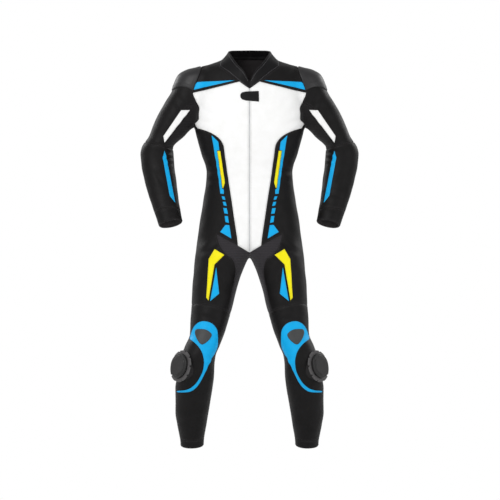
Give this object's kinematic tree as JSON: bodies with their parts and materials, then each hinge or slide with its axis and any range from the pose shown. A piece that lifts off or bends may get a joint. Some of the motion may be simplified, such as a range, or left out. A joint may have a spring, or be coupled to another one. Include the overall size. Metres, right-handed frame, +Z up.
{
  "type": "motorcycle race suit",
  "caption": "One-piece leather motorcycle race suit, filled out and hollow, with stand collar, front zip, stretch gussets, shoulder cups and knee sliders.",
  "frame": {"origin": "on the suit's middle plane at the base of the neck, level with the shoulder points, where a wearer's shoulders hold it", "axes": "+Z up towards the collar; the front with its zip faces -Y; +X points to the wearer's left"},
  "size_m": [0.797, 0.2945, 1.4582],
  "materials": {
    "black_leather": "satin, fine grain",
    "white_leather": "satin, fine grain",
    "blue_leather": "satin, fine grain",
    "yellow_leather": "satin, fine grain",
    "stretch_cloth": "matt woven",
    "moulded_cup": "satin",
    "moulded_shield": "satin",
    "slider_base": "matt",
    "slider_puck": "satin",
    "zip_tape": "matt"
  },
  "bodies": {
    "root": {"back": "white_leather", "collar": "black_leather", "left_ankle_band": "black_leather", "left_calf": "black_leather", "left_chest_wedge": "blue_leather", "left_cuff": "black_leather", "left_flank_arrow": "blue_leather", "left_flank_bar": "yellow_leather", "left_flank_stripe": "blue_leather", "left_forearm_back": "black_leather", "left_forearm_front": "black_leather", "left_forearm_stripe": "blue_leather", "left_front": "white_leather", "left_gusset": "stretch_cloth", "left_knee_shield": "moulded_shield", "left_knee_surround": "blue_leather", "left_shin": "black_leather", "left_shoulder_cup": "moulded_cup", "left_side": "black_leather", "left_sleeve_lens": "stretch_cloth", "left_sleeve_stripe": "white_leather", "left_slider_base": "slider_base", "left_slider_puck": "slider_puck", "left_thigh_bar": "yellow_leather", "left_thigh_wedge": "blue_leather", "left_upper_sleeve": "black_leather", "left_yoke": "black_leather", "neck_tab": "black_leather", "right_ankle_band": "black_leather", "right_calf": "black_leather", "right_chest_wedge": "blue_leather", "right_cuff": "black_leather", "right_flank_arrow": "blue_leather", "right_flank_bar": "yellow_leather", "right_flank_stripe": "blue_leather", "right_forearm_back": "black_leather", "right_forearm_front": "black_leather", "right_forearm_stripe": "blue_leather", "right_front": "white_leather", "right_gusset": "stretch_cloth", "right_knee_shield": "moulded_shield", "right_knee_surround": "blue_leather", "right_shin": "black_leather", "right_shoulder_cup": "moulded_cup", "right_side": "black_leather", "right_sleeve_lens": "stretch_cloth", "right_sleeve_stripe": "white_leather", "right_slider_base": "slider_base", "right_slider_puck": "slider_puck", "right_thigh_bar": "yellow_leather", "right_thigh_wedge": "blue_leather", "right_upper_sleeve": "black_leather", "right_yoke": "black_leather", "zip": "zip_tape"}
  },
  "joints": []
}
